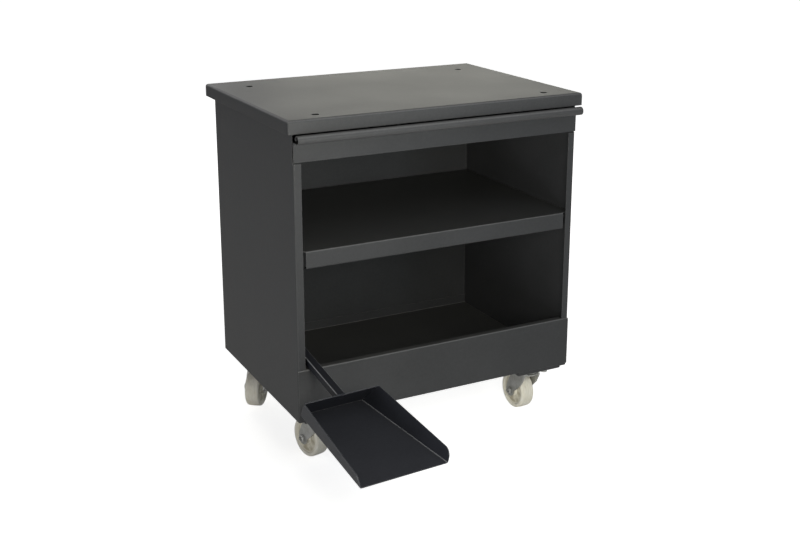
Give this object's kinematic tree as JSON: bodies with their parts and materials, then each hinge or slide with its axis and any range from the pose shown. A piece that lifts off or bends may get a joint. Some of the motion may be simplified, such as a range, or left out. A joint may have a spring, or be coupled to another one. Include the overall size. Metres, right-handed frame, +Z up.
{
  "type": "wheeled cabinet stand",
  "caption": "Open-fronted sheet steel cabinet stand on swivel casters, with a shallow drawer under its flat top, a shelf, a deep bin and a scoop shovel stowed at the bin.",
  "frame": {"origin": "middle of the whole part's outline on the floor, shovel included", "axes": "+Z up; the open front, the drawer's pull and the shovel's pan face -Y; +X to the right seen from the front"},
  "size_m": [0.6504, 0.772, 0.684],
  "materials": {
    "body_paint": "charcoal powder coat, satin, fine texture",
    "shovel_paint": "black powder coat, satin",
    "zinc": "dull zinc plate",
    "wheel_nylon": "cream moulded nylon, worn tread",
    "plug_plastic": "black moulded cap"
  },
  "bodies": {
    "cabinet": {"side_panel_left": "body_paint", "side_panel_right": "body_paint", "back_panel": "body_paint", "floor_pan": "body_paint", "front_skirt": "body_paint", "middle_shelf": "body_paint", "shelf_bracket_left": "body_paint", "shelf_bracket_right": "body_paint", "caster_rail_left": "body_paint", "caster_rail_right": "body_paint", "top_panel": "body_paint", "top_tie_front": "body_paint", "top_tie_rear": "body_paint", "top_rail_left": "body_paint", "top_rail_right": "body_paint", "shovel_keeper": "body_paint", "drawer_rail_left": "zinc", "drawer_rail_right": "zinc", "caster_plate_front_left": "zinc", "caster_race_front_left": "zinc", "kingpin_front_left": "zinc", "caster_plate_front_right": "zinc", "caster_race_front_right": "zinc", "kingpin_front_right": "zinc", "caster_plate_rear_left": "zinc", "caster_race_rear_left": "zinc", "kingpin_rear_left": "zinc", "caster_plate_rear_right": "zinc", "caster_race_rear_right": "zinc", "kingpin_rear_right": "zinc"},
    "drawer": {"drawer_tray": "body_paint", "drawer_front": "body_paint", "drawer_slide_left": "zinc", "drawer_slide_right": "zinc"},
    "caster_front_left": {"fork_front_left": "zinc", "axle_bolt_front_left": "zinc"},
    "wheel_front_left": {"wheel_front_left": "wheel_nylon"},
    "caster_front_right": {"fork_front_right": "zinc", "axle_bolt_front_right": "zinc"},
    "wheel_front_right": {"wheel_front_right": "wheel_nylon"},
    "caster_rear_left": {"fork_rear_left": "zinc", "axle_bolt_rear_left": "zinc"},
    "wheel_rear_left": {"wheel_rear_left": "wheel_nylon"},
    "caster_rear_right": {"fork_rear_right": "zinc", "axle_bolt_rear_right": "zinc"},
    "wheel_rear_right": {"wheel_rear_right": "wheel_nylon"},
    "shovel": {"shovel_pan": "shovel_paint", "shovel_handle": "shovel_paint", "handle_plug": "plug_plastic"}
  },
  "joints": [
    {"name": "drawer_pull", "type": "slide", "parent": "cabinet", "child": "drawer", "axis": [0, -1, 0], "range_m": [0, 0.3]},
    {"name": "swivel_front_left", "type": "hinge", "parent": "cabinet", "child": "caster_front_left", "pos_m": [-0.22184, -0.00599, 0.097], "axis": [0, 0, 1], "continuous": true},
    {"name": "roll_front_left", "type": "hinge", "parent": "caster_front_left", "child": "wheel_front_left", "pos_m": [-0.22891, 0.02727, 0.03981], "axis": [0.9781, 0.2079, 0], "continuous": true},
    {"name": "swivel_front_right", "type": "hinge", "parent": "cabinet", "child": "caster_front_right", "pos_m": [0.25016, -0.00599, 0.097], "axis": [0, 0, 1], "continuous": true},
    {"name": "roll_front_right", "type": "hinge", "parent": "caster_front_right", "child": "wheel_front_right", "pos_m": [0.24957, 0.028, 0.03981], "axis": [0.9998, 0.0175, 0], "continuous": true},
    {"name": "swivel_rear_left", "type": "hinge", "parent": "cabinet", "child": "caster_rear_left", "pos_m": [-0.22184, 0.31701, 0.097], "axis": [0, 0, 1], "continuous": true},
    {"name": "roll_rear_left", "type": "hinge", "parent": "caster_rear_left", "child": "wheel_rear_left", "pos_m": [-0.24277, 0.29022, 0.03981], "axis": [-0.788, 0.6157, 0], "continuous": true},
    {"name": "swivel_rear_right", "type": "hinge", "parent": "cabinet", "child": "caster_rear_right", "pos_m": [0.25016, 0.31701, 0.097], "axis": [0, 0, 1], "continuous": true},
    {"name": "roll_rear_right", "type": "hinge", "parent": "caster_rear_right", "child": "wheel_rear_right", "pos_m": [0.26179, 0.28506, 0.03981], "axis": [-0.9397, -0.342, 0], "continuous": true},
    {"name": "shovel_draw", "type": "slide", "parent": "cabinet", "child": "shovel", "axis": [0.0614, -0.9762, -0.2079], "range_m": [-0.06, 0.19]}
  ]
}
